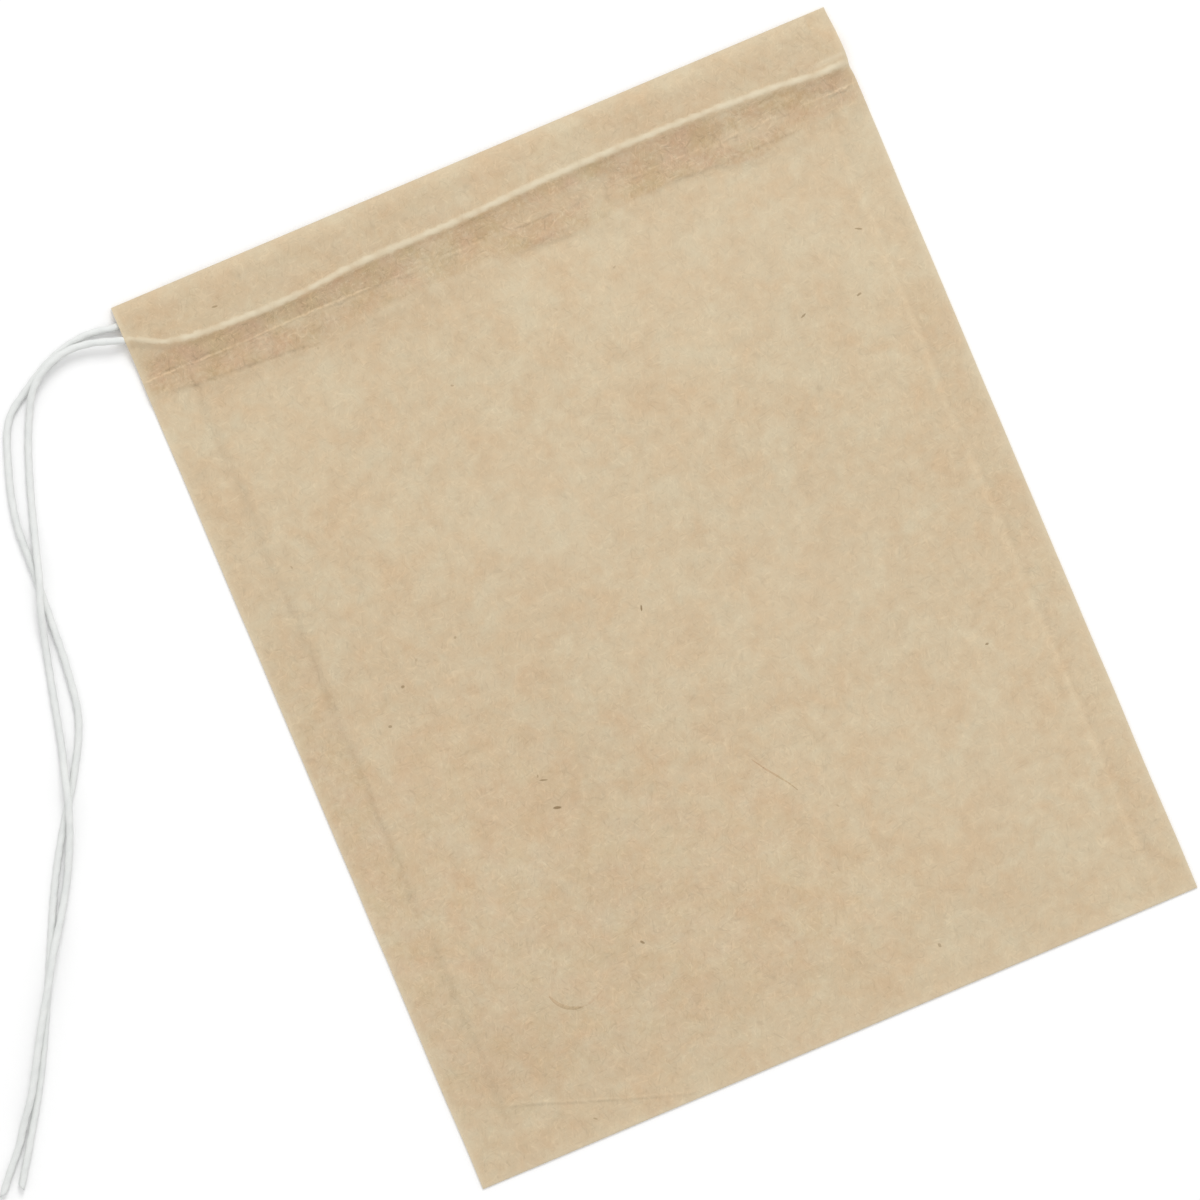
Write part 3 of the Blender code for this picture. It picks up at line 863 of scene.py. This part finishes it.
def smooth_line(points, step):
    """A smooth curve through the points, as points about a step apart."""
    headings = []
    for i, point in enumerate(points):
        before = point - points[i - 1] if i else Vector()
        after = points[i + 1] - point if i + 1 < len(points) else Vector()
        headings.append((before.normalized() + after.normalized()).normalized())
    line = []
    for i in range(len(points) - 1):
        start, end = points[i], points[i + 1]
        reach = (end - start).length
        count = max(2, round(reach / step))
        for part in range(count):
            line.append(cubic(part / count, reach, start, end, headings[i], headings[i + 1]))
    return line + [points[-1]]


def tube_rings(line):
    """For each point of a line: the point, its heading and two directions across it, without twist."""
    rings = []
    across = Vector((0, 0, 1))
    for i, point in enumerate(line):
        heading = heading_at(line, i)
        across = (across - heading * across.dot(heading)).normalized()
        rings.append((point, heading, across, heading.cross(across)))
    return rings


def make_string_piece(name, line, material, sides=16, cut=0.0):
    """A stretch of the string: two soft plies laid round each other, cut off at a slant."""
    rings = tube_rings(line)
    swell, swell_length = SWELLS
    grain, grain_along, grain_round = GRAIN
    vertices, reach = [], 0.0
    for n, (point, heading, up, side) in enumerate(rings):
        if n:
            reach += (point - rings[n - 1][0]).length
        near_end = ease(1 - (len(rings) - 1 - n) / CUT_RINGS)
        turn = 2 * math.pi * reach / (TWIST_LENGTH * MM)
        soft = 1 + swell * rough(reach / MM / swell_length, 0.0, len(name))
        for s in range(sides):
            angle = 2 * math.pi * s / sides
            across, aside = math.cos(angle), math.sin(angle)
            plies = 1 + PLY_HEIGHT * math.cos(2 * (angle - turn))
            fine = 1 + grain * rough(reach / MM * grain_along, grain_round * across, grain_round * aside)
            radius = (STRING_RADIUS - PLY_ROOM) * MM * plies * soft * fine
            slant = heading * (cut * near_end * aside * STRING_RADIUS * MM)
            spread = 1 + CUT_SPREAD * near_end * math.cos(2 * angle + 1.0)
            vertices.append(point + radius * spread * (across * up + aside * side) + slant)
    piece = new_mesh(name, vertices, ring_faces(0, len(rings), sides), material)
    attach(piece, "root")
    piece.data.shade_smooth()
    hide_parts("drawstring")
    return piece


def tail(places):
    """Points of a loose tail, which lies on the floor where its lift is 0."""
    return [bag_place(x, depth, STRING_RADIUS + FLOOR_GAP + lift) for x, depth, lift in places]


def hem_run(depth_at, floor, places):
    """Points of the string in a hem, resting in its channel."""
    points = []
    for x in places:
        depth = depth_at(x)
        z = hem_heights(x, depth)[floor] + CHANNEL_HEIGHT / 2 + LAYER_GAP / 2
        points.append(bag_place(x, depth, z))
    return points


def turn_points():
    """The string's half circle inside the right-hand seam."""
    front = hem_run(lambda x: FRONT_DEPTH, FRONT_CHANNEL, [TURN_X])[0].z
    rear = hem_run(lambda x: REAR_DEPTH, REAR_CHANNEL, [TURN_X])[0].z
    points = []
    for step in range(TURN_STEPS + 1):
        share = step / TURN_STEPS
        x = TURN_X + TURN_RADIUS * math.sin(math.pi * share)
        depth = TURN_DEPTH + TURN_RADIUS * math.cos(math.pi * share)
        points.append(bag_place(x, depth, (front + (rear - front) * share) / MM))
    return points


def make_drawstring(material):
    """The string in three stretches: a tail, the run through both hems and the other tail."""
    lead = TURN_X - STRING_DIAMETER
    places = EXIT_PLACES[:-1] + spaced(EXIT_PLACES[-1], lead, HEM_STEP) + [lead]
    front = hem_run(front_depth, FRONT_CHANNEL, places)
    rear = hem_run(rear_depth, REAR_CHANNEL, places[::-1])
    hidden = smooth_line(front + turn_points() + rear, HIDDEN_STEP * MM)
    make_string_piece("string_in_hem", hidden, material, sides=12)
    for name, start, places, cut in (
        ("front_tail", front[0], FRONT_TAIL, 0.9),
        ("rear_tail", rear[-1], REAR_TAIL, -0.6),
    ):
        line = smooth_line([start] + tail(places), TAIL_STEP * MM)
        piece = make_string_piece(name, line, material, cut=cut)


def add(tree, kind, inputs=None, output=0, **settings):
    """An output of a new node with its settings, whose inputs are values or linked sockets."""
    made = tree.nodes.new("ShaderNode" + kind)
    for key, value in settings.items():
        setattr(made, key, value)
    for key, value in (inputs or {}).items():
        if isinstance(value, bpy.types.NodeSocket):
            tree.links.new(value, made.inputs[key])
        else:
            made.inputs[key].default_value = value
    return made.outputs[output]


def maths(tree, operation, a, b=0.0, clamp=False):
    """A sum, product or the like of two numbers or sockets."""
    return add(tree, "Math", {0: a, 1: b}, operation=operation, use_clamp=clamp)


def shifted(tree, place, by):
    """A vector moved by another one."""
    return add(tree, "VectorMath", {0: place, 1: by})


def scaled(tree, vector, by):
    """A vector times a number."""
    return add(tree, "VectorMath", {0: vector, "Scale": by}, operation="SCALE")


def part_of(tree, vector, axis):
    """One of a vector's three numbers."""
    return add(tree, "SeparateXYZ", {0: vector}, axis)


def mix_colour(tree, factor, a, b, blend="MIX"):
    """Two colours mixed by a factor."""
    return add(tree, "Mix", {"Factor": factor, 6: a, 7: b}, 2, data_type="RGBA", blend_type=blend)


def attribute(tree, name, output="Fac"):
    """A value that is kept at the mesh's points."""
    return add(tree, "Attribute", None, output, attribute_name=name)


def new_material(name, roughness, specular):
    """A material with its node tree and its shader."""
    material = bpy.data.materials.new(name)
    material.use_nodes = True
    shader = material.node_tree.nodes["Principled BSDF"]
    shader.inputs["Roughness"].default_value = roughness
    shader.inputs["Specular IOR Level"].default_value = specular
    return material, material.node_tree, shader


def dress(tree, shader, colour, height, strength, depth):
    """A shader's colour, and its fine relief of a depth in millimetres."""
    tree.links.new(colour, shader.inputs["Base Color"])
    relief = add(tree, "Bump", {"Strength": strength, "Distance": depth * MM, "Height": height})
    tree.links.new(relief, shader.inputs["Normal"])


def millimetres(tree):
    """The place on the object, in millimetres."""
    return scaled(tree, add(tree, "TexCoord", None, "Object"), 1 / MM)


def clouds(tree, place, size, detail=2.0, seed=0.0, roughness=0.5, swirl=0.0):
    """Soft noise of about the given size in millimetres, around 0.5."""
    inputs = {
        "Vector": shifted(tree, place, (seed, seed, seed)),
        "Scale": 1 / size,
        "Detail": detail,
        "Roughness": roughness,
        "Distortion": swirl,
    }
    return add(tree, "TexNoise", inputs, "Fac")


def ripples(tree, *form):
    """The same noise around 0."""
    return maths(tree, "SUBTRACT", clouds(tree, *form), 0.5)


def bend(tree, place, size, amount):
    """Places moved aside by soft noise, so that what is drawn there is curved."""
    aside = add(tree, "TexNoise", {"Vector": place, "Scale": 1 / size, "Detail": 0.0}, "Color")
    return shifted(tree, place, scaled(tree, shifted(tree, aside, (-0.5, -0.5, -0.5)), amount))


def fibres(tree, place, angle, width, length, seed):
    """Noise drawn out along one direction, as fibres lie in paper."""
    inputs = {"Vector": place, "Rotation": (0, 0, angle), "Scale": (width, length, width)}
    turned = add(tree, "Mapping", inputs, vector_type="TEXTURE")
    return clouds(tree, turned, 1.0, 1.0, seed)


def contrast(tree, value, gain, middle=0.5):
    """Noise around 0.5 spread out by a gain, kept from 0 to 1."""
    centred = maths(tree, "SUBTRACT", value, middle)
    return maths(tree, "ADD", maths(tree, "MULTIPLY", centred, gain), 0.5, clamp=True)


def total(tree, *parts):
    """The sum of parts, each a socket and its weight."""
    whole = None
    for socket, weight in parts:
        part = maths(tree, "MULTIPLY", socket, weight)
        whole = part if whole is None else maths(tree, "ADD", whole, part)
    return whole


def threads(tree, place, size, width, seed):
    """Thin curly lines where a soft noise crosses its middle, broken up into short pieces."""
    line = stripe(tree, ripples(tree, place, size, 1.0, seed), width)
    pieces = contrast(tree, clouds(tree, place, size * 0.8, 1.0, seed + 30), 9.0, 0.56)
    return maths(tree, "MULTIPLY", line, pieces)


def stripe(tree, away, half):
    """1 on a line and 0 from half a width to its side, for a socket that tells how far away it is."""
    share = maths(tree, "DIVIDE", maths(tree, "ABSOLUTE", away), half)
    return maths(tree, "SUBTRACT", 1.0, share, clamp=True)


def strokes(tree, place, seed):
    """Short straight fibres, scattered in several directions."""
    whole = None
    for angle, own_seed in FIBRE_LAYERS:
        stroke = contrast(tree, fibres(tree, place, angle, *FIBRE_SIZE, seed + own_seed), 6.0, 0.7)
        whole = stroke if whole is None else maths(tree, "MAXIMUM", whole, stroke)
    return whole


def painted_crease_shade(tree, place):
    """Painted shade and highlight along the paper's creases, folds and seam borders, each with how much
    paler it is.
    """
    across = maths(tree, "ADD", part_of(tree, place, 0), BAG_WIDTH / 2)
    depth = maths(tree, "SUBTRACT", BAG_HEIGHT / 2, part_of(tree, place, 1))
    wander = ripples(tree, place, 9.0, 1.0, 51.0)
    uneven = contrast(tree, clouds(tree, place, 2.5, 1.0, 61.0), 1.4, 0.34)
    lines = []
    for start, end, half, paler in CREASE_SHADING:
        length = math.dist(start, end)
        ux, uy = (end[0] - start[0]) / length, (end[1] - start[1]) / length
        from_x = maths(tree, "SUBTRACT", across, start[0])
        from_depth = maths(tree, "SUBTRACT", depth, start[1])
        ahead = total(tree, (from_x, ux), (from_depth, uy))
        aside = total(tree, (from_x, -uy), (from_depth, ux), (wander, 1.0))
        left = maths(tree, "SUBTRACT", length, ahead)
        within = maths(tree, "MULTIPLY", maths(tree, "MINIMUM", ahead, left), 1.2, clamp=True)
        line = maths(tree, "MULTIPLY", stripe(tree, aside, half), within)
        lines.append((maths(tree, "MULTIPLY", line, uneven), paler))
    return lines


def hem_line_shading(tree, place):
    """Painted highlight on the seal's line and painted shade in the groove beside it and at the flap's
    edge, crinkled and broken up.
    """
    below = attribute(tree, "below_lines", "Vector")
    strengths = attribute(tree, "line_strengths", "Vector")
    from_line, from_flap = part_of(tree, below, 1), part_of(tree, below, 2)
    on_line, on_groove, on_flap = [part_of(tree, strengths, axis) for axis in range(3)]
    side = maths(tree, "MULTIPLY", maths(tree, "SIGN", on_groove), 0.3)
    from_groove = maths(tree, "SUBTRACT", from_line, side)
    crinkle = ripples(tree, place, 0.9, 2.0, 91.0)
    dashes = contrast(tree, clouds(tree, place, 0.8, 1.0, 97.0), 3.0, 0.38)
    lines = []
    # The seal line's painted highlight, the groove's painted shade and the flap edge's painted shade
    for distance, own_strength, sway, half, paler in (
        (from_line, on_line, 0.3, 0.17, 0.27),
        (from_groove, on_groove, 0.5, 0.2, -0.24),
        (from_flap, on_flap, 0.4, 0.3, -0.15),
    ):
        line = stripe(tree, total(tree, (distance, 1.0), (crinkle, sway)), half)
        shown = maths(tree, "MULTIPLY", maths(tree, "ABSOLUTE", own_strength), dashes)
        lines.append((maths(tree, "MULTIPLY", line, shown), paler))
    return lines


def string_showing_and_highlight(tree, place):
    """How clearly the white string shows through the paper, with the slant of its twist; the pale band
    also serves as a painted highlight on the ridge.
    """
    below = part_of(tree, attribute(tree, "below_lines", "Vector"), 0)
    turn = maths(tree, "SINE", total(tree, (part_of(tree, place, 0), 4.6), (below, -6.5)))
    soft = ripples(tree, place, 1.1, 2.0, 27.0)
    half = maths(tree, "ADD", total(tree, (turn, 0.05), (soft, 0.55)), 0.38)
    share = maths(tree, "DIVIDE", below, half)
    band = maths(tree, "SUBTRACT", 1.0, maths(tree, "MULTIPLY", share, share), clamp=True)
    patches = contrast(tree, clouds(tree, place, 1.6, 1.0, 37.0), 1.8, 0.35)
    return maths(tree, "MULTIPLY", band, patches)


def paper_light(tree, place, bent, stronger):
    """The paper's fine pattern as relief, and the pattern with the painted shade and highlight of its
    lines and creases as a factor of its light.
    """
    weight = 1 / len(FIBRE_LAYERS)
    layers = [(fibres(tree, bent, angle, *FIBRE_SIZE, seed), weight) for angle, seed in FIBRE_LAYERS]
    fibre = maths(tree, "SUBTRACT", total(tree, *layers), 0.5)
    mottle = ripples(tree, bent, 1.8, 3.0, 70.0, 0.6)
    parts = [(fibre, 0.14), (mottle, 0.2), (ripples(tree, place, 24.0, 1.0, 80.0), 0.1)]
    for seed, curls, paler in ((200.0, (2.0, 0.022, 5.0), 0.09), (300.0, (2.6, 0.016, 17.0), -0.09)):
        single = maths(tree, "MAXIMUM", strokes(tree, bent, seed), threads(tree, bent, *curls))
        parts.append((maths(tree, "MULTIPLY", single, stronger), paler))
    # The paper's pattern of tone, with painted shade and highlight along creases and hem lines
    light = total(tree, *parts, *painted_crease_shade(tree, place), *hem_line_shading(tree, place))
    return total(tree, (fibre, 0.7), (mottle, 1.2)), maths(tree, "ADD", light, 1.0)


def paper_material():
    """Unbleached filter paper: fibrous, paler over the string, partly as a painted highlight, browner
    where it is stuck, with painted shade and highlight along its lines and creases.
    """
    material, tree, shader = new_material("unbleached_filter_paper", roughness=0.88, specular=0.25)
    place = millimetres(tree)
    bent = bend(tree, place, 1.8, 0.8)
    cloud = clouds(tree, place, 6.0, 4.0, roughness=0.6, swirl=0.6)
    patch = clouds(tree, bent, 1.5, 3.0, 3.0, 0.6)
    cloud = contrast(tree, total(tree, (cloud, 0.6), (patch, 0.4)), 3.6)
    colour = mix_colour(tree, cloud, PALE_PAPER, WARM_PAPER)

    # Brownness, with the painted shade over the front's lower left in it
    brown = attribute(tree, "brown")
    stronger = maths(tree, "ADD", maths(tree, "MULTIPLY", brown, 0.7), 1.0)
    height, light = paper_light(tree, place, bent, stronger)
    grey = add(tree, "CombineColor", {"Red": light, "Green": light, "Blue": light})
    colour = mix_colour(tree, 1.0, colour, grey, "MULTIPLY")

    speckle = contrast(tree, clouds(tree, place, 0.5, 2.0, 33.0, 0.6), 2.5)
    stuck = maths(tree, "MULTIPLY", brown, maths(tree, "ADD", speckle, 0.5))
    olive = contrast(tree, clouds(tree, place, 2.6, 2.0, 55.0), 3.0)
    browner = mix_colour(tree, 1.0, colour, mix_colour(tree, olive, ROSY_STAIN, OLIVE_STAIN), "MULTIPLY")
    colour = mix_colour(tree, stuck, colour, browner)
    # Paler where the string shows through, with painted highlights on the ridge and at the mouth's fold
    paler = maths(tree, "MAXIMUM", attribute(tree, "pale"), string_showing_and_highlight(tree, place))
    colour = mix_colour(tree, paler, colour, STRING_SHOWING_AND_HIGHLIGHT)
    colour = mix_colour(tree, attribute(tree, "dark"), colour, BARK)
    dress(tree, shader, colour, height, strength=0.6, depth=0.1)
    return material


def cotton_material():
    """Soft white cotton: fine fibres and a little sheen."""
    material, tree, shader = new_material("white_cotton", roughness=0.9, specular=0.2)
    place = millimetres(tree)
    patch = contrast(tree, clouds(tree, place, 1.6, 2.0, 5.0), 2.0)
    fine = contrast(tree, clouds(tree, place, 0.18, 2.0, 15.0), 1.5)
    colour = mix_colour(tree, total(tree, (patch, 0.6), (fine, 0.4)), GREYER_COTTON, WHITE_COTTON)
    dress(tree, shader, colour, fine, strength=0.4, depth=0.05)
    shader.inputs["Sheen Weight"].default_value = 0.15
    return material


def seen_directly(tree):
    """1 for rays from the camera, or by way of a mirror or glass, and 0 for light that bounces."""
    kinds = ("Is Camera Ray", "Is Glossy Ray", "Is Transmission Ray")
    camera, mirror, glass = [add(tree, "LightPath", None, kind) for kind in kinds]
    return maths(tree, "MAXIMUM", maths(tree, "MAXIMUM", camera, mirror), glass)


def make_floor():
    """A plain pale floor that looks white and keeps the shadow."""
    material, tree, shader = new_material("pale_floor", roughness=1.0, specular=0.0)
    colour = mix_colour(tree, seen_directly(tree), FLOOR_GREY, WHITE)
    tree.links.new(colour, shader.inputs["Base Color"])
    reach = 2.0
    corners = [(-reach, -reach, 0), (reach, -reach, 0), (reach, reach, 0), (-reach, reach, 0)]
    floor = new_mesh("floor", corners, [(0, 1, 2, 3)], material)
    floor.location.z = -FLOOR_GAP * MM


def make_light():
    """Soft light from all round, and a large soft lamp beyond the mouth's right corner."""
    world = bpy.data.worlds.new("studio")
    world.use_nodes = True
    bpy.context.scene.world = world
    tree = world.node_tree
    ambient, distance = 0.8, 1.1
    shown = maths(tree, "MULTIPLY", seen_directly(tree), 1 - ambient)
    background = tree.nodes["Background"].inputs
    tree.links.new(maths(tree, "ADD", shown, ambient), background["Strength"])
    background["Color"].default_value = WHITE
    lamp = bpy.data.lights.new("key", "AREA")
    lamp.shape = "DISK"
    lamp.size = 0.5
    lamp.energy = 4.2
    key = new_object("key", lamp)
    towards = Vector((0.45, 0.75, 0.9)).normalized()
    key.location = towards * distance
    key.rotation_euler = towards.to_track_quat("Z", "Y").to_euler()


def make_camera():
    """A long lens straight above, with its picture rolled."""
    data = bpy.data.cameras.new("camera")
    data.sensor_width = SENSOR
    data.lens = SENSOR * CAMERA_HEIGHT / VIEW_WIDTH
    camera = new_object("camera", data)
    camera.location = Vector((*VIEW_CENTRE, CAMERA_HEIGHT)) * MM
    camera.rotation_euler = (0, 0, VIEW_ROLL)
    data.clip_start = 10 * MM
    bpy.context.scene.camera = camera


def main():
    """The camera, the string, the bag, the floor and the light."""
    bpy.context.scene.view_settings.view_transform = "Standard"
    make_camera()
    make_drawstring(cotton_material())
    paper = paper_material()
    make_bag(paper, make_specks(paper))
    make_floor()
    make_light()


main()
